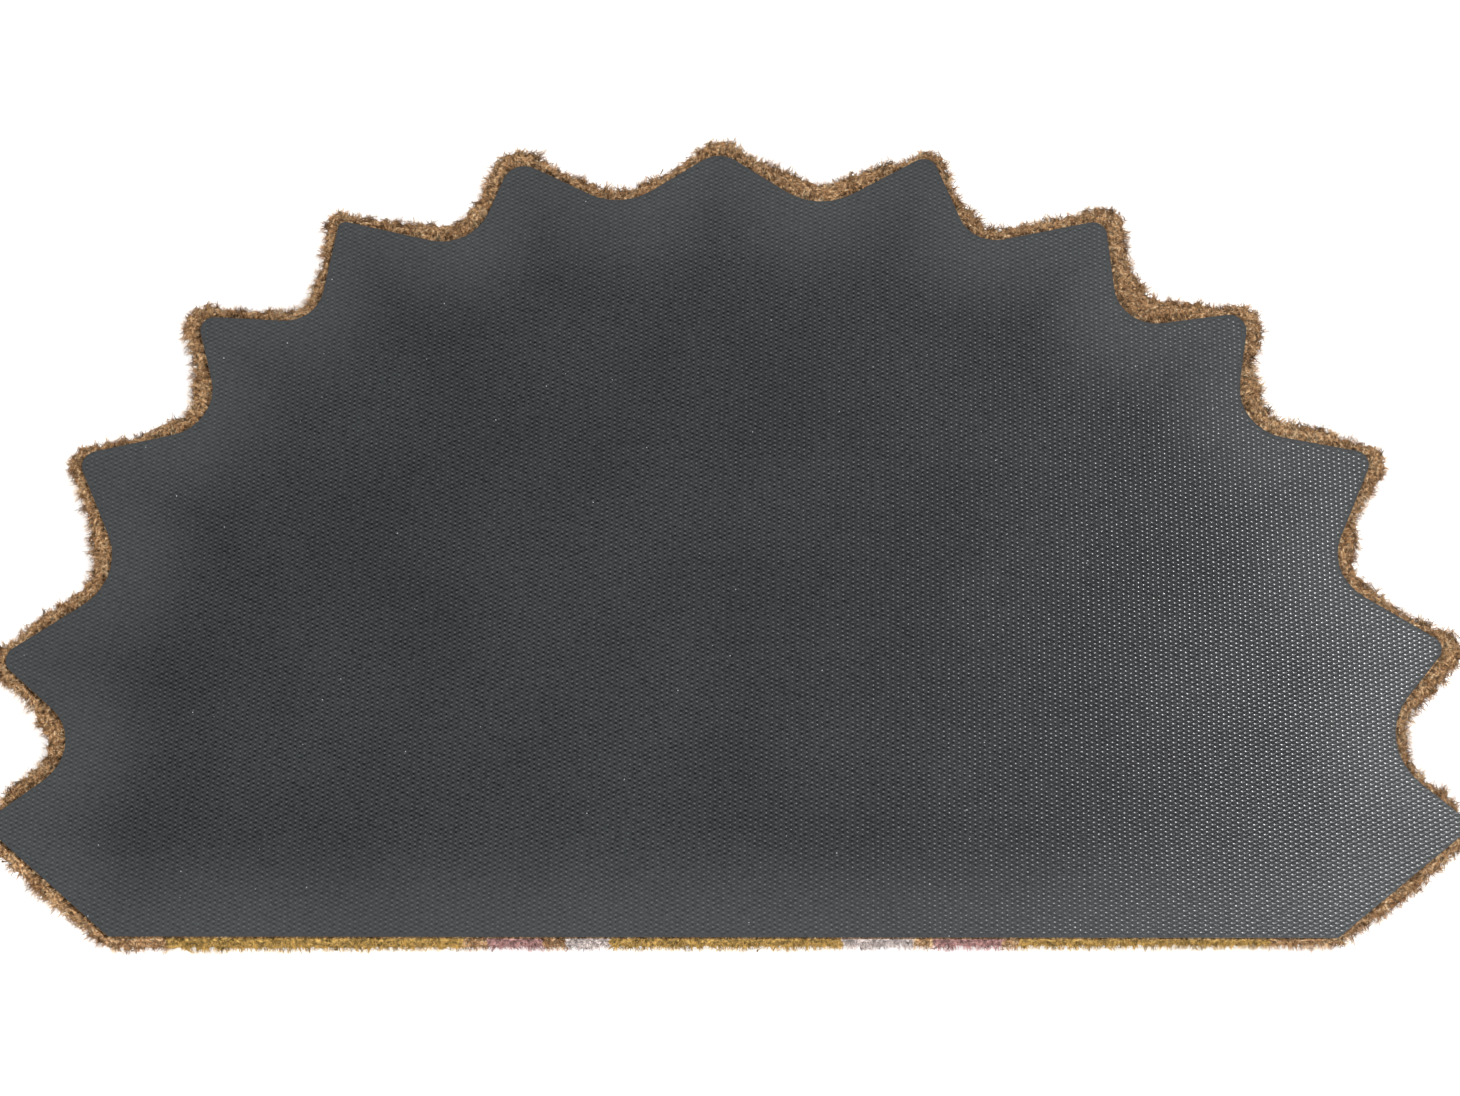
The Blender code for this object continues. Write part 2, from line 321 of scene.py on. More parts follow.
def bristle_tree():
    """Bristles planted on a surface, leaning out of it and drawn together into locks."""
    tree, given = new_tree("bristles", {
        "Density": "Float", "Seed": "Int", "Length": "Float", "Length Spread": "Float", "Width": "Float",
        "Curl": "Float", "Sink": "Float", "Lean": "Float", "Spread": "Float", "Flatten": "Float",
        "Lock Size": "Float", "Lock Pull": "Float", "Lock Reach": "Float", "Backing": "Object",
        "Beside Backing": "Bool", "Outward": "Float", "Material": "Material",
    })
    place = add(tree, "GeometryNodeInputPosition")
    planted = add(tree, "GeometryNodeDistributePointsOnFaces", {
        "Mesh": given["Geometry"], "Density": given["Density"], "Seed": given["Seed"],
    })
    # On the ledge only the points beside the backing are kept, which see no vinyl above them
    cover = add(tree, "GeometryNodeObjectInfo", {"Object": given["Backing"]})
    sight = add(tree, "GeometryNodeRaycast", {
        "Target Geometry": cover.outputs["Geometry"], "Ray Direction": (0.0, 0.0, 1.0),
        "Ray Length": COVER_SEARCH,
    })
    covered = add(tree, "FunctionNodeBooleanMath", {
        0: sight.outputs["Is Hit"], 1: given["Beside Backing"],
    }, operation="AND")
    open_points = add(tree, "GeometryNodeDeleteGeometry", {
        "Geometry": planted.outputs["Points"], "Selection": covered.outputs[0],
    }, domain="POINT")
    nearest = add(tree, "GeometryNodeProximity", {
        "Geometry": cover.outputs["Geometry"],
    }, target_element="FACES")
    away = add(tree, "ShaderNodeVectorMath", {
        0: place.outputs[0], 1: nearest.outputs["Position"],
    }, operation="SUBTRACT")
    away_level = add(tree, "ShaderNodeVectorMath", {
        0: away.outputs[0], 1: (1.0, 1.0, 0.0),
    }, operation="MULTIPLY")
    away_unit = add(tree, "ShaderNodeVectorMath", {0: away_level.outputs[0]}, operation="NORMALIZE")
    # A lock is the bristles nearest one point, whose tips are drawn towards it. Each has its own reach
    per_metre = add(tree, "ShaderNodeMath", {0: 1.0, 1: given["Lock Size"]}, operation="DIVIDE")
    locks = add(tree, "ShaderNodeTexVoronoi", {
        "Vector": place.outputs[0], "Scale": per_metre.outputs[0],
    })
    towards = add(tree, "ShaderNodeVectorMath", {
        0: locks.outputs["Position"], 1: place.outputs[0],
    }, operation="SUBTRACT")
    pull = add(tree, "ShaderNodeVectorMath", {
        0: towards.outputs[0], "Scale": given["Lock Pull"],
    }, operation="SCALE")
    pulled = add(tree, "GeometryNodeStoreNamedAttribute", {
        "Geometry": open_points.outputs[0], "Name": "lock_pull", "Value": pull.outputs[0],
    }, data_type="FLOAT_VECTOR")
    chances = add(tree, "ShaderNodeSeparateXYZ", {0: locks.outputs["Color"]})
    own = add(tree, "FunctionNodeRandomValue", {2: 0.0, 3: 1.0, "Seed": 15})
    tone = add(tree, "ShaderNodeMix", {0: 0.6, 2: own.outputs[1], 3: chances.outputs["X"]})
    toned = add(tree, "GeometryNodeStoreNamedAttribute", {
        "Geometry": pulled.outputs[0], "Name": "tone", "Value": tone.outputs[0],
    })
    low = add(tree, "ShaderNodeMath", {0: 1.0, 1: given["Lock Reach"]}, operation="SUBTRACT")
    high = add(tree, "ShaderNodeMath", {0: 1.0, 1: given["Lock Reach"]}, operation="ADD")
    lock_share = add(tree, "ShaderNodeMapRange", {
        0: chances.outputs["Y"], 3: low.outputs[0], 4: high.outputs[0],
    })
    shortest = add(tree, "ShaderNodeMath", {0: 1.0, 1: given["Length Spread"]}, operation="SUBTRACT")
    longest = add(tree, "ShaderNodeMath", {0: 1.0, 1: given["Length Spread"]}, operation="ADD")
    own_share = add(tree, "FunctionNodeRandomValue", {
        2: shortest.outputs[0], 3: longest.outputs[0], "Seed": 13,
    })
    share = add(tree, "ShaderNodeMath", {
        0: own_share.outputs[1], 1: lock_share.outputs[0],
    }, operation="MULTIPLY")
    sized = add(tree, "GeometryNodeStoreNamedAttribute", {
        "Geometry": toned.outputs[0], "Name": "length_share", "Value": share.outputs[0],
    })
    stored_share = add(tree, "GeometryNodeInputNamedAttribute", {"Name": "length_share"}).outputs[0]
    # The way a bristle points: out of the surface, leaning down or up, and off that at random
    level = add(tree, "ShaderNodeCombineXYZ", {"X": 1.0, "Y": 1.0, "Z": given["Flatten"]})
    out = add(tree, "ShaderNodeVectorMath", {
        0: planted.outputs["Normal"], 1: level.outputs[0],
    }, operation="MULTIPLY")
    from_face = add(tree, "ShaderNodeVectorMath", {0: out.outputs[0]}, operation="NORMALIZE")
    unit = add(tree, "ShaderNodeMix", {
        0: given["Outward"], 4: from_face.outputs[0], 5: away_unit.outputs[0],
    }, data_type="VECTOR")
    lean = add(tree, "ShaderNodeCombineXYZ", {"Z": given["Lean"]})
    leaning = add(tree, "ShaderNodeVectorMath", {
        0: unit.outputs[1], 1: lean.outputs[0],
    }, operation="ADD")
    chance = add(tree, "FunctionNodeRandomValue", {
        0: (-1.0, -1.0, -0.7), 1: (1.0, 1.0, 0.7), "Seed": 11,
    }, data_type="FLOAT_VECTOR")
    stray = add(tree, "ShaderNodeVectorMath", {
        0: chance.outputs[0], "Scale": given["Spread"],
    }, operation="SCALE")
    way = add(tree, "ShaderNodeVectorMath", {
        0: leaning.outputs[0], 1: stray.outputs[0],
    }, operation="ADD")
    aim = add(tree, "ShaderNodeVectorMath", {0: way.outputs[0]}, operation="NORMALIZE")
    aimed = add(tree, "GeometryNodeStoreNamedAttribute", {
        "Geometry": sized.outputs[0], "Name": "aim", "Value": aim.outputs[0],
    }, data_type="FLOAT_VECTOR")
    stored_aim = add(tree, "GeometryNodeInputNamedAttribute", {
        "Name": "aim",
    }, data_type="FLOAT_VECTOR").outputs[0]
    # The roots sink below the surface, so that only the ends stand out
    sunk = add(tree, "ShaderNodeMath", {0: given["Length"], 1: given["Sink"]}, operation="MULTIPLY")
    back = add(tree, "ShaderNodeMath", {0: sunk.outputs[0], 1: -1.0}, operation="MULTIPLY")
    inward = add(tree, "ShaderNodeVectorMath", {
        0: stored_aim, "Scale": back.outputs[0],
    }, operation="SCALE")
    rooted = add(tree, "GeometryNodeSetPosition", {
        "Geometry": aimed.outputs[0], "Offset": inward.outputs[0],
    })
    held = add(tree, "ShaderNodeSeparateXYZ", {0: place.outputs[0]})
    under = add(tree, "ShaderNodeMath", {0: held.outputs["Z"], 1: ROOT_TOP}, operation="MINIMUM")
    root = add(tree, "ShaderNodeCombineXYZ", {
        "X": held.outputs["X"], "Y": held.outputs["Y"], "Z": under.outputs[0],
    })
    lowered = add(tree, "GeometryNodeSetPosition", {
        "Geometry": rooted.outputs[0], "Position": root.outputs[0],
    })
    # One bristle: a three-sided taper in two stretches, bent towards its tip
    radius = add(tree, "ShaderNodeMath", {0: given["Width"], 1: 2.0}, operation="DIVIDE")
    cone = add(tree, "GeometryNodeMeshCone", {
        "Vertices": 3, "Side Segments": 2, "Radius Top": 0.0, "Radius Bottom": radius.outputs[0],
        "Depth": given["Length"],
    })
    rise = add(tree, "ShaderNodeSeparateXYZ", {0: place.outputs[0]})
    along = add(tree, "ShaderNodeMath", {0: rise.outputs["Z"], 1: given["Length"]}, operation="DIVIDE")
    squared = add(tree, "ShaderNodeMath", {
        0: along.outputs[0], 1: along.outputs[0],
    }, operation="MULTIPLY")
    kept = add(tree, "GeometryNodeStoreNamedAttribute", {
        "Geometry": cone.outputs["Mesh"], "Name": "along", "Value": along.outputs[0],
    })
    sideways = add(tree, "ShaderNodeMath", {
        0: squared.outputs[0], 1: given["Curl"],
    }, operation="MULTIPLY")
    bend = add(tree, "ShaderNodeCombineXYZ", {"X": sideways.outputs[0]})
    bristle = add(tree, "GeometryNodeSetPosition", {
        "Geometry": kept.outputs[0], "Offset": bend.outputs[0],
    })
    spin = add(tree, "FunctionNodeRandomValue", {2: 0.0, 3: math.tau, "Seed": 12})
    spun = add(tree, "ShaderNodeCombineXYZ", {"Z": spin.outputs[1]})
    start = add(tree, "FunctionNodeEulerToRotation", {0: spun.outputs[0]})
    turned = add(tree, "FunctionNodeAlignRotationToVector", {
        "Rotation": start.outputs[0], "Vector": stored_aim,
    }, axis="Z")
    thick = add(tree, "FunctionNodeRandomValue", {2: 0.7, 3: 1.2, "Seed": 14})
    scale = add(tree, "ShaderNodeCombineXYZ", {
        "X": thick.outputs[1], "Y": thick.outputs[1], "Z": stored_share,
    })
    many = add(tree, "GeometryNodeInstanceOnPoints", {
        "Points": lowered.outputs[0], "Instance": bristle.outputs[0], "Rotation": turned.outputs[0],
        "Scale": scale.outputs[0],
    })
    real = add(tree, "GeometryNodeRealizeInstances", {"Geometry": many.outputs[0]})
    stored = add(tree, "GeometryNodeInputNamedAttribute", {
        "Name": "lock_pull",
    }, data_type="FLOAT_VECTOR")
    reach = add(tree, "GeometryNodeInputNamedAttribute", {"Name": "along"})
    drawn = add(tree, "ShaderNodeVectorMath", {
        0: stored.outputs[0], "Scale": reach.outputs[0],
    }, operation="SCALE")
    locked = add(tree, "GeometryNodeSetPosition", {
        "Geometry": real.outputs[0], "Offset": drawn.outputs[0],
    })
    # Nothing reaches below the floor, or above the backing's face
    now = add(tree, "ShaderNodeSeparateXYZ", {0: place.outputs[0]})
    floored = add(tree, "ShaderNodeMath", {0: now.outputs["Z"], 1: TIP_BOTTOM}, operation="MAXIMUM")
    above = add(tree, "ShaderNodeMath", {0: floored.outputs[0], 1: TIP_TOP}, operation="MINIMUM")
    rest = add(tree, "ShaderNodeCombineXYZ", {
        "X": now.outputs["X"], "Y": now.outputs["Y"], "Z": above.outputs[0],
    })
    lying = add(tree, "GeometryNodeSetPosition", {
        "Geometry": locked.outputs[0], "Position": rest.outputs[0],
    })
    finish_tree(tree, lying.outputs[0], given["Material"])
    return tree


def pile_body_tree():
    """The pile's body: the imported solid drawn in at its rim, with a lumpy underside."""
    tree, given = new_tree("pile body", {
        "Columns": "Int", "Rows": "Int", "Cell": "Float", "Draw In": "Float", "Lump Size": "Float",
        "Lump Depth": "Float", "Material": "Material",
    })
    span_x = add(tree, "ShaderNodeMath", {0: given["Columns"], 1: given["Cell"]}, operation="MULTIPLY")
    span_y = add(tree, "ShaderNodeMath", {0: given["Rows"], 1: given["Cell"]}, operation="MULTIPLY")
    size = add(tree, "ShaderNodeCombineXYZ", {
        "X": span_x.outputs[0], "Y": span_y.outputs[0], "Z": PILE_SLAB_DEPTH,
    })
    slab = add(tree, "GeometryNodeMeshCube", {
        "Size": size.outputs[0], "Vertices X": given["Columns"], "Vertices Y": given["Rows"],
        "Vertices Z": 2,
    })
    raised = add(tree, "GeometryNodeTransform", {
        "Geometry": slab.outputs["Mesh"], "Translation": (0.0, 0.0, PILE_SLAB_DEPTH / 2),
    })
    place = add(tree, "GeometryNodeInputPosition")
    parts = add(tree, "ShaderNodeSeparateXYZ", {0: place.outputs[0]})
    per_metre = add(tree, "ShaderNodeMath", {0: 1.0, 1: given["Lump Size"]}, operation="DIVIDE")
    lumps = add(tree, "ShaderNodeTexNoise", {
        "Vector": place.outputs[0], "Scale": per_metre.outputs[0], "Detail": 2.0, "Roughness": 0.6,
    })
    up = add(tree, "ShaderNodeMath", {
        0: lumps.outputs[0], 1: given["Lump Depth"],
    }, operation="MULTIPLY")
    lifted = add(tree, "ShaderNodeCombineXYZ", {"Z": up.outputs[0]})
    low = add(tree, "FunctionNodeCompare", {0: parts.outputs["Z"], 1: 1.0 * MM}, operation="LESS_THAN")
    lumpy = add(tree, "GeometryNodeSetPosition", {
        "Geometry": raised.outputs[0], "Selection": low.outputs[0], "Offset": lifted.outputs[0],
    })
    # The rim is drawn in level with the floor, and the underside reaches below the lumps before the cut
    normal = add(tree, "GeometryNodeInputNormal")
    level = add(tree, "ShaderNodeVectorMath", {
        0: normal.outputs["Normal"], 1: (1.0, 1.0, 0.0),
    }, operation="MULTIPLY")
    unit = add(tree, "ShaderNodeVectorMath", {0: level.outputs[0]}, operation="NORMALIZE")
    inward = add(tree, "ShaderNodeMapRange", {
        0: parts.outputs["Z"], 1: DRAWN_UP_TO, 2: HARDLY_DRAWN_AT, 3: given["Draw In"], 4: HARDLY_DRAWN,
    })
    backward = add(tree, "ShaderNodeMath", {0: inward.outputs[0], 1: -1.0}, operation="MULTIPLY")
    draw = add(tree, "ShaderNodeVectorMath", {
        0: unit.outputs[0], "Scale": backward.outputs[0],
    }, operation="SCALE")
    narrowed = add(tree, "GeometryNodeSetPosition", {
        "Geometry": given["Geometry"], "Offset": draw.outputs[0],
    })
    lowered = add(tree, "GeometryNodeSetPosition", {
        "Geometry": narrowed.outputs[0], "Selection": low.outputs[0],
        "Offset": (0.0, 0.0, -UNDERSIDE_STRETCH),
    })
    cut = add(tree, "GeometryNodeMeshBoolean", {
        "Mesh 2": lumpy.outputs[0],
    }, operation="INTERSECT", solver="MANIFOLD")
    tree.links.new(lowered.outputs[0], cut.inputs["Mesh 2"])
    finish_tree(tree, cut.outputs["Mesh"], given["Material"])
    return tree


def shader_of(material):
    """A new material's node tree and its Principled shader."""
    material.use_nodes = True
    tree = material.node_tree
    return tree, tree.nodes["Principled BSDF"]


def embossed_vinyl():
    """Calendered PVC, embossed while soft: matt slate grey with a low gleam on each bump, partly a painted
    highlight, painted shade in the pits and painted light near the cut edge.
    """
    material = bpy.data.materials.new("embossed_pvc_sheet")
    tree, shader = shader_of(material)
    place = add(tree, "ShaderNodeTexCoord").outputs["Object"]
    even = add(tree, "ShaderNodeVectorMath", {0: place, 1: uneven(tree, place)}, operation="ADD")
    parts = add(tree, "ShaderNodeSeparateXYZ", {0: even.outputs[0]})
    waves = []
    for axis, step in (("X", COLUMN_STEP), ("Y", ROW_STEP)):
        angle = add(tree, "ShaderNodeMath", {
            0: parts.outputs[axis], 1: math.pi / step,
        }, operation="MULTIPLY")
        waves.append(add(tree, "ShaderNodeMath", {0: angle.outputs[0]}, operation="COSINE"))
    edge = add(tree, "ShaderNodeAttribute", attribute_name="edge_distance")
    fade = add(tree, "ShaderNodeMapRange", {0: edge.outputs["Fac"], 1: FLAT_BORDER, 2: EDGE_FADE})
    # Narrower across than the plain wave, so that bumps and pits are round, with a strip between columns
    squared = add(tree, "ShaderNodeMath", {
        0: waves[0].outputs[0], 1: waves[0].outputs[0],
    }, operation="MULTIPLY")
    narrow = add(tree, "ShaderNodeMath", {
        0: squared.outputs[0], 1: waves[0].outputs[0],
    }, operation="MULTIPLY")
    even_emboss = add(tree, "ShaderNodeMath", {
        0: narrow.outputs[0], 1: waves[1].outputs[0],
    }, operation="MULTIPLY")
    emboss = add(tree, "ShaderNodeMath", {
        0: even_emboss.outputs[0], 1: fade.outputs[0],
    }, operation="MULTIPLY")
    grain = add(tree, "ShaderNodeTexNoise", {"Vector": place, "Scale": GRAIN_SCALE, "Detail": 2.0})
    crown = add(tree, "ShaderNodeMath", {0: emboss.outputs[0], 1: 0.0}, operation="MAXIMUM")
    peaked = add(tree, "ShaderNodeMath", {0: crown.outputs[0], 1: CROWN_POWER}, operation="POWER")
    domed = add(tree, "ShaderNodeMath", {
        0: peaked.outputs[0], 1: 0.35, 2: emboss.outputs[0],
    }, operation="MULTIPLY_ADD")
    height = add(tree, "ShaderNodeMath", {
        0: grain.outputs[0], 1: 0.7, 2: domed.outputs[0],
    }, operation="MULTIPLY_ADD")
    bump = add(tree, "ShaderNodeBump", {
        "Strength": 1.0, "Distance": GLEAM_HEIGHT, "Height": height.outputs[0],
    })
    cloud = add(tree, "ShaderNodeTexNoise", {"Vector": place, "Scale": CLOUD_SCALE, "Detail": 3.0})
    clouded = add(tree, "ShaderNodeValToRGB", {
        0: cloud.outputs[0],
    }, stops=((0.35, linear("303233")), (0.65, linear("2C2D2E"))))
    # Painted shade: the base colour darkens in the pits, where shade falls
    sunk = add(tree, "ShaderNodeMath", {
        0: grain.outputs[0], 1: 2.4, 2: emboss.outputs[0],
    }, operation="MULTIPLY_ADD")
    pits = add(tree, "ShaderNodeMapRange", {0: sunk.outputs[0], 1: 0.2, 2: 1.3, 3: 0.22, 4: 1.02})
    # Painted highlight: the crowns are painted paler, more so in scuffed patches. Painted shade: the pits
    # are painted darker
    wear = add(tree, "ShaderNodeTexNoise", {"Vector": place, "Scale": WEAR_SCALE, "Detail": 2.0})
    worn = add(tree, "ShaderNodeMapRange", {0: wear.outputs[0], 1: 0.35, 2: 0.65, 3: 0.5, 4: 1.6})
    polish_and_painted_highlight = add(tree, "ShaderNodeMath", {
        0: peaked.outputs[0], 1: worn.outputs[0],
    }, operation="MULTIPLY")
    painted_highlight_and_shade = add(tree, "ShaderNodeMath", {
        0: polish_and_painted_highlight.outputs[0], 1: 1.35, 2: pits.outputs[0],
    }, operation="MULTIPLY_ADD")
    sheet_with_painted_light = add(tree, "ShaderNodeVectorMath", {
        0: clouded.outputs[0], "Scale": painted_highlight_and_shade.outputs[0],
    }, operation="SCALE")
    # Painted light: the sheet is painted paler towards its cut edge
    rim = add(tree, "ShaderNodeMapRange", {
        0: edge.outputs["Fac"], 1: 0.0, 2: PAINTED_LIGHT_BORDER, 3: 0.12, 4: 0.0,
    }, interpolation_type="SMOOTHSTEP")
    edge_painted_lighter = add(tree, "ShaderNodeMix", {
        0: rim.outputs[0], 6: sheet_with_painted_light.outputs[0], 7: linear("6F7172"),
    }, data_type="RGBA")
    # Specks of pale dust, sparse and up to 0.6 mm across
    dust = add(tree, "ShaderNodeTexVoronoi", {"Vector": place, "Scale": DUST_SCALE})
    near = add(tree, "ShaderNodeMath", {0: dust.outputs["Distance"], 1: 0.035}, operation="LESS_THAN")
    chance = add(tree, "ShaderNodeSeparateXYZ", {0: dust.outputs["Color"]})
    some = add(tree, "ShaderNodeMath", {0: chance.outputs["X"], 1: 0.6}, operation="GREATER_THAN")
    speck = add(tree, "ShaderNodeMath", {0: near.outputs[0], 1: some.outputs[0]}, operation="MULTIPLY")
    dusty = add(tree, "ShaderNodeMix", {
        0: speck.outputs[0], 6: edge_painted_lighter.outputs[2], 7: linear("989A98"),
    }, data_type="RGBA")
    tree.links.new(dusty.outputs[2], shader.inputs["Base Color"])
    tree.links.new(bump.outputs[0], shader.inputs["Normal"])
    # The crowns are polished, the net between them is duller
    gloss = add(tree, "ShaderNodeMapRange", {0: polish_and_painted_highlight.outputs[0], 1: 0.0, 2: 1.0, 3: 0.16, 4: 1.35})
    tree.links.new(gloss.outputs[0], shader.inputs["Specular IOR Level"])
    shader.inputs["Roughness"].default_value = 0.25
    shader.inputs["IOR"].default_value = 1.53
    return material


def coir(name, painted_light_level, granular, natural):
    """Coconut husk fibre, split and brushed: dry matt straw and brown, dyed in rings on the pile's face,
    with painted shade deep in the pile and between clumps.
    """
    material = bpy.data.materials.new(name)
    tree, shader = shader_of(material)
    place = add(tree, "ShaderNodeTexCoord").outputs["Object"]
    # The body is seen only between the bristles, as rough clumps
    if granular:
        fibres = add(tree, "ShaderNodeTexNoise", {
            "Vector": place, "Scale": FIBRE_SCALE, "Detail": 3.0, "Roughness": 0.75,
        })
        tone = add(tree, "ShaderNodeMapRange", {0: fibres.outputs[0], 1: 0.36, 2: 0.66}).outputs[0]
        rough = add(tree, "ShaderNodeBump", {
            "Strength": 1.0, "Distance": 0.5 * MM, "Height": fibres.outputs[0],
        })
        tree.links.new(rough.outputs[0], shader.inputs["Normal"])
        painted_depth_shade = painted_light_level
    else:
        tone = add(tree, "ShaderNodeAttribute", attribute_name="tone").outputs["Fac"]
        along = add(tree, "ShaderNodeAttribute", attribute_name="along").outputs["Fac"]
        # Painted shade: each bristle is darker towards its root, deep in the pile
        painted_depth_shade = add(tree, "ShaderNodeMapRange", {
            0: along, 1: 0.25, 2: 0.9, 3: 0.35 * painted_light_level, 4: painted_light_level,
        }).outputs[0]
    plain = add(tree, "ShaderNodeValToRGB", {0: tone}, stops=natural)
    # The radius from the middle of the straight edge, less even where the dye has run
    moved = add(tree, "ShaderNodeMapping", {0: place, 1: (-RING_CENTRE_X, -STRAIGHT_EDGE_Y, 0.0)})
    parts = add(tree, "ShaderNodeSeparateXYZ", {0: moved.outputs[0]})
    level = add(tree, "ShaderNodeCombineXYZ", {"X": parts.outputs["X"], "Y": parts.outputs["Y"]})
    radius = add(tree, "ShaderNodeVectorMath", {
        0: level.outputs[0],
    }, operation="LENGTH").outputs["Value"]
    run = add(tree, "ShaderNodeTexNoise", {"Vector": place, "Scale": DYE_RUN_SCALE, "Detail": 1.0})
    wobble = add(tree, "ShaderNodeMath", {
        0: run.outputs[0], 1: DYE_RUN, 2: -DYE_RUN / 2,
    }, operation="MULTIPLY_ADD")
    worn = add(tree, "ShaderNodeMath", {0: radius, 1: wobble.outputs[0]}, operation="ADD")
    widest = RINGS[-1][0] * MM
    reach = add(tree, "ShaderNodeMath", {0: worn.outputs[0], 1: widest}, operation="DIVIDE")
    sides = []
    for side in (0, 1):
        stops = [(0.0, (0.0, 0.0, 0.0, 1.0))]
        for number, row in enumerate(RINGS, 1):
            share = number / len(RINGS)
            stops.append((row[side] * MM / widest, (share, share, share, 1.0)))
        sides.append(add(tree, "ShaderNodeValToRGB", {0: reach.outputs[0]}, stops=stops))
    # 0 on the far left, 0.5 in the middle and 1 on the far right
    across = add(tree, "ShaderNodeMath", {0: parts.outputs["X"], 1: radius}, operation="DIVIDE")
    right = add(tree, "ShaderNodeMath", {
        0: across.outputs[0], 1: 0.5, 2: 0.5,
    }, operation="MULTIPLY_ADD")
    ring = add(tree, "ShaderNodeMix", {
        0: right.outputs[0], 2: sides[0].outputs[0], 3: sides[1].outputs[0],
    })
    # Alpha tells dyed fibre from natural
    bands = []
    for number, row in enumerate(RINGS):
        bands.append((number / len(RINGS), (*linear(row[2])[:3], 1.0 if row[3] else 0.0)))
    dyes = add(tree, "ShaderNodeValToRGB", {0: ring.outputs[0]}, stops=bands)
    dyes.color_ramp.interpolation = "CONSTANT"
    # The dye stops short of the backing, where the fibre is natural. Under the backing's edge it ends
    # DYE_TOP above the floor, and from DYE_PAST_EDGE outside that edge it reaches all the way up
    beside = add(tree, "ShaderNodeMapRange", {
        0: parts.outputs["Y"], 1: -DYE_PAST_EDGE, 2: -DYE_PAST_EDGE + 0.4 * MM, 4: DYE_LIFT,
    })
    height = add(tree, "ShaderNodeMath", {0: parts.outputs["Z"], 1: beside.outputs[0]}, operation="ADD")
    depth = add(tree, "ShaderNodeMapRange", {
        0: height.outputs[0], 1: DYE_TOP + DYE_LIFT, 2: DYE_TOP + DYE_LIFT + 0.5 * MM, 3: 0.92, 4: 0.0,
    })
    dyed = add(tree, "ShaderNodeMath", {
        0: dyes.outputs["Alpha"], 1: depth.outputs[0],
    }, operation="MULTIPLY")
    strength = add(tree, "ShaderNodeMapRange", {0: tone, 1: 0.0, 2: 1.0, 3: 0.4, 4: 1.35})
    dye = add(tree, "ShaderNodeVectorMath", {
        0: dyes.outputs["Color"], "Scale": strength.outputs[0],
    }, operation="SCALE")
    coloured = add(tree, "ShaderNodeMix", {
        0: dyed.outputs[0], 6: plain.outputs[0], 7: dye.outputs[0],
    }, data_type="RGBA")
    # Painted shade in the gaps between clumps, and painted light on their crowns
    clumps = add(tree, "ShaderNodeTexNoise", {
        "Vector": place, "Scale": CLUMP_SCALE, "Detail": 2.0, "Roughness": 0.6,
    })
    painted_gap_shade_and_light = add(tree, "ShaderNodeMapRange", {0: clumps.outputs[0], 1: 0.38, 2: 0.6, 3: 0.4, 4: 1.45})
    painted_shading = add(tree, "ShaderNodeMath", {0: painted_gap_shade_and_light.outputs[0], 1: painted_depth_shade}, operation="MULTIPLY")
    shaded = add(tree, "ShaderNodeVectorMath", {
        0: coloured.outputs[2], "Scale": painted_shading.outputs[0],
    }, operation="SCALE")
    tree.links.new(shaded.outputs[0], shader.inputs["Base Color"])
    shader.inputs["Roughness"].default_value = 0.8
    shader.inputs["Specular IOR Level"].default_value = 0.3
    return material


# Coir's own colours, from its darkest fibre to its palest
NATURAL = (
    (0.0, linear("5E4129")),
    (0.35, linear("97704B")),
    (0.7, linear("C39C70")),
    (1.0, linear("E6D0AC")),
)

vinyl = embossed_vinyl()
# One coir at two painted light levels: the body is the bristles' coir painted darker, a painted shade, as
# it lies between the bristles
bristle = coir("coir_bristle", 1.1, False, NATURAL)
felt = coir("coir_body", 0.6, True, NATURAL)

backing_solid = solid_copy("vinyl_backing")
pile_solid = solid_copy("coir_pile")

backing = grown("embossed_backing", backing_solid, emboss_tree(), {
    "Columns": EMBOSS_COLUMNS, "Rows": EMBOSS_ROWS, "Column Step": COLUMN_STEP, "Row Step": ROW_STEP,
    "Face Height": BACKING_HIGH.z, "Emboss Height": EMBOSS_HEIGHT, "Edge Fade": EDGE_FADE,
    "Material": vinyl,
})
backing.data.shade_flat()

body = grown("pile_body", pile_solid, pile_body_tree(), {
    "Columns": 230, "Rows": 140, "Cell": 3.4 * MM, "Draw In": 1.5 * MM, "Lump Size": 9 * MM,
    "Lump Depth": 4 * MM, "Material": felt,
})
body.data.shade_smooth()
body.data.set_sharp_from_angle(angle=math.radians(50))

# What tells the rim's faces from the level ones, and the straight edge from the rays
RIM_TILT = 0.985
STRAIGHT_EDGE_HALF = 0.306


def on_rim(normal, middle):
    """Whether a face is on the side that runs round the rays."""
    return abs(normal.z) < RIM_TILT and not on_straight_edge(normal, middle)


def on_straight_edge(normal, middle):
    """Whether a face is on the side along the straight edge."""
    between_ends = abs(middle.x) < STRAIGHT_EDGE_HALF
    return abs(normal.z) < RIM_TILT and middle.y < STRAIGHT_EDGE_Y + 1 * MM and between_ends


bristles = bristle_tree()
cover = bpy.data.objects.new("backing_cover", backing_solid)
bpy.context.scene.collection.objects.link(cover)
pieces = {"embossed_backing": backing, "pile_body": body}
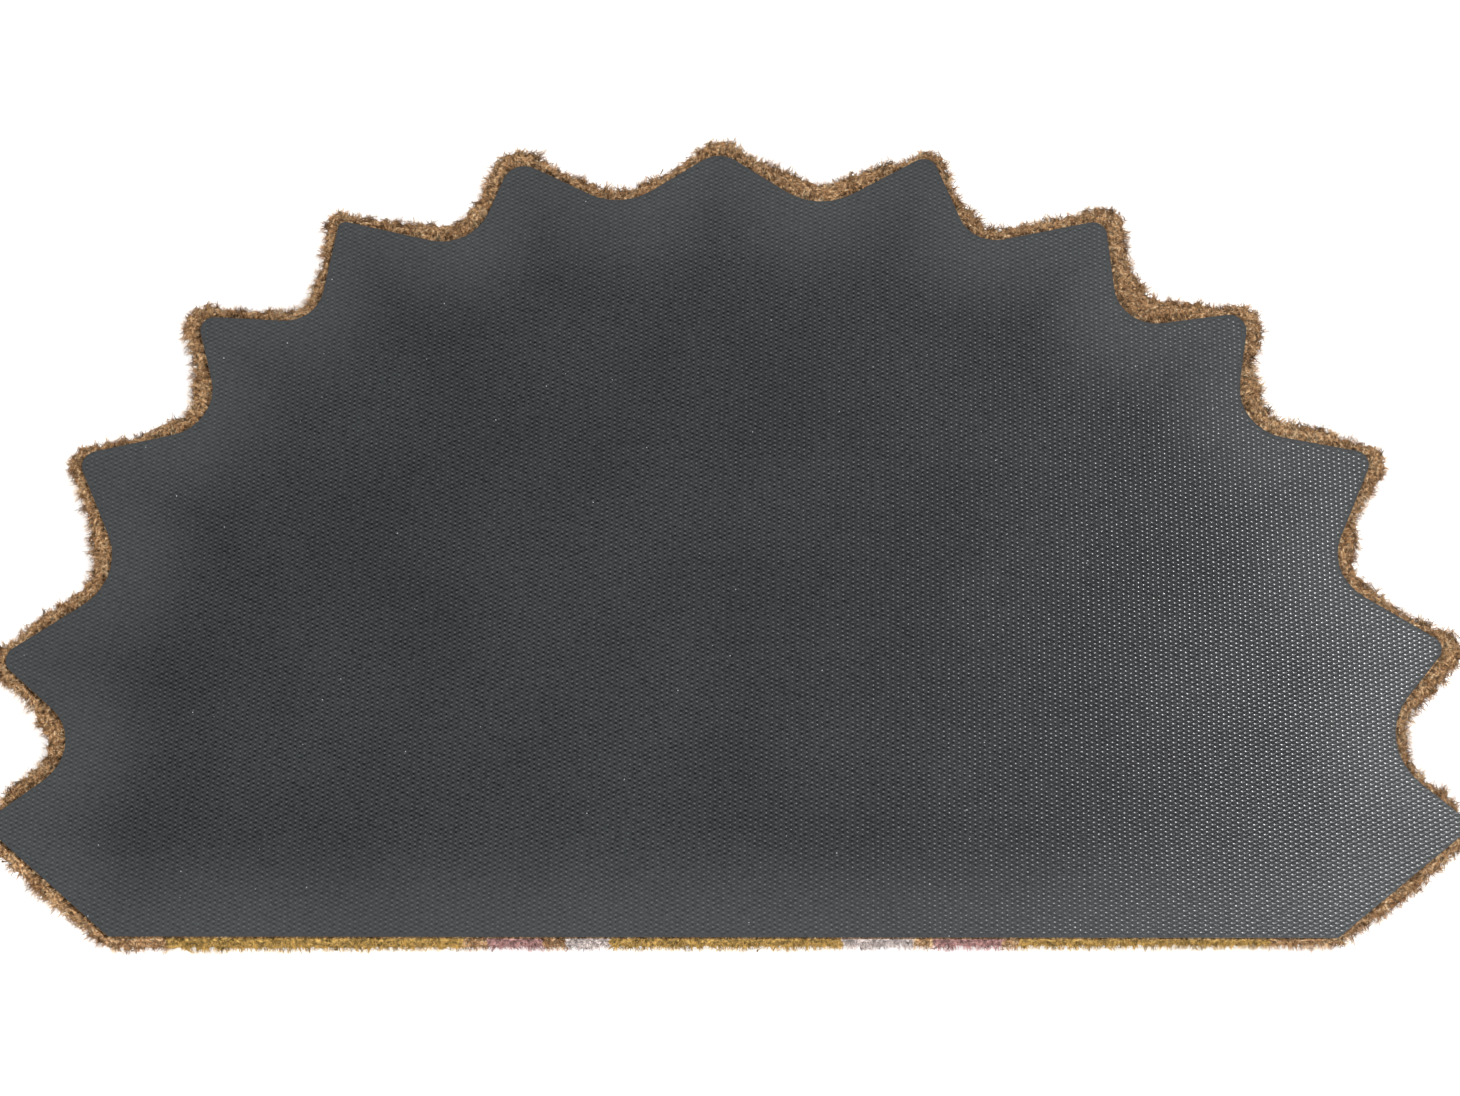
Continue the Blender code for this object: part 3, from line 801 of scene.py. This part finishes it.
# Real coir is 0.1 to 0.4 mm thick. A bristle here is drawn thicker and stands for a few of them
RIM = {
    "Length": 5.5 * MM, "Length Spread": 0.4, "Width": 0.55 * MM, "Curl": 2.2 * MM, "Sink": 0.7,
    "Lean": -0.2, "Spread": 0.8, "Flatten": 0.35, "Lock Size": 4 * MM, "Lock Pull": 0.7,
    "Lock Reach": 0.6, "Backing": cover, "Beside Backing": False, "Outward": 0.0, "Material": bristle,
}
for name, keep, seed, density, changes in (
    ("rim_bristles_left", lambda n, m: on_rim(n, m) and m.x < 0, 3, 900e3, {}),
    ("rim_bristles_right", lambda n, m: on_rim(n, m) and m.x >= 0, 4, 900e3, {}),
    ("ledge_bristles", lambda n, m: n.z > 0.99, 9, 1500e3, {
        "Length": 4.0 * MM, "Sink": 0.3, "Width": 0.5 * MM, "Curl": 1.2 * MM, "Lean": 0.35, "Spread": 0.7,
        "Beside Backing": True, "Outward": 1.0, "Lock Size": 4 * MM, "Lock Pull": 0.4,
    }),
    ("rim_strays", on_rim, 5, 60e3, {
        "Length": 9 * MM, "Sink": 0.6, "Width": 0.35 * MM, "Curl": 4 * MM, "Lean": -0.05,
    }),
    ("straight_edge_bristles", on_straight_edge, 6, 1100e3, {
        "Length": 5.0 * MM, "Lean": -0.6, "Spread": 0.7, "Sink": 0.8, "Curl": 1.5 * MM, "Lock Size": 4 * MM,
        "Lock Reach": 0.1,
    }),
    ("face_bristles", lambda n, m: n.z < -0.99, 7, 70e3, {
        "Length": 6 * MM, "Lean": 0.0, "Spread": 0.4, "Flatten": 1.0, "Sink": 0.95, "Width": 1.2 * MM,
    }),
):
    surface = faces_of(pile_solid, keep)
    values = {**RIM, "Density": density, "Seed": seed, **changes}
    pieces[name] = grown(name, surface, bristles, values)

bpy.data.objects.remove(cover)

for name, piece in pieces.items():
    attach(piece, "root")
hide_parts("vinyl_backing")
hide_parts("coir_pile")

# The floor, the soft lights and the camera
FLOOR_SIZE = 12.0
floor_mesh = bpy.data.meshes.new("floor")
half = FLOOR_SIZE / 2
floor_mesh.from_pydata(
    [(-half, -half, 0), (half, -half, 0), (half, half, 0), (-half, half, 0)], [], [(0, 1, 2, 3)]
)
floor = bpy.data.objects.new("floor", floor_mesh)
bpy.context.scene.collection.objects.link(floor)
paper = bpy.data.materials.new("pale_floor")
paper_shader = shader_of(paper)[1]
paper_shader.inputs["Base Color"].default_value = linear("F4F4F4")
paper_shader.inputs["Roughness"].default_value = 0.9
paper_shader.inputs["Emission Color"].default_value = (1.0, 1.0, 1.0, 1.0)
paper_shader.inputs["Emission Strength"].default_value = 0.35
floor_mesh.materials.append(paper)

world = bpy.data.worlds.new("studio")
bpy.context.scene.world = world
world.use_nodes = True
world.node_tree.nodes["Background"].inputs["Color"].default_value = (1.0, 1.0, 1.0, 1.0)
world.node_tree.nodes["Background"].inputs["Strength"].default_value = 0.13


def softbox(name, place, target, width, height, watts, mirrored):
    """A soft area light at a place, facing a target. One that isn't mirrored shows in no gloss."""
    light = bpy.data.lights.new(name, "AREA")
    light.shape = "RECTANGLE"
    light.size = width
    light.size_y = height
    light.energy = watts
    lamp = bpy.data.objects.new(name, light)
    lamp.location = place
    lamp.visible_glossy = mirrored
    lamp.rotation_euler = (Vector(target) - Vector(place)).to_track_quat("-Z", "Y").to_euler()
    bpy.context.scene.collection.objects.link(lamp)


softbox("right_softbox", (0.88, -0.05, 1.5), (0, 0, 0), 0.5, 0.6, 26.5, True)
softbox("left_softbox", (-2.4, -1.1, 1.2), (0, 0, 0), 2.0, 1.4, 95, False)
softbox("back_softbox", (0.0, 2.6, 0.9), (0, 0, 0), 2.5, 1.2, 68, False)
softbox("front_softbox", (0.3, -2.6, 0.9), (0, 0, 0), 2.5, 1.2, 66, False)

CAMERA_TARGET = Vector((5.51, -14.34, 15.0)) * MM
CAMERA_DISTANCE = 1770 * MM
CAMERA_TILT = math.radians(20.80)
CAMERA_HEADING = math.radians(9.16)
CAMERA_ROLL = math.radians(-8.87)
camera = bpy.data.cameras.new("camera")
camera.lens = 85
camera.sensor_width = 36
eye = bpy.data.objects.new("camera", camera)
turn = (
    Matrix.Rotation(CAMERA_HEADING, 4, "Z") @ Matrix.Rotation(CAMERA_TILT, 4, "X")
    @ Matrix.Rotation(CAMERA_ROLL, 4, "Z")
)
eye.matrix_world = Matrix.Translation(CAMERA_TARGET) @ turn @ Matrix.Translation((0, 0, CAMERA_DISTANCE))
bpy.context.scene.collection.objects.link(eye)
bpy.context.scene.camera = eye
bpy.context.scene.view_settings.view_transform = "Standard"
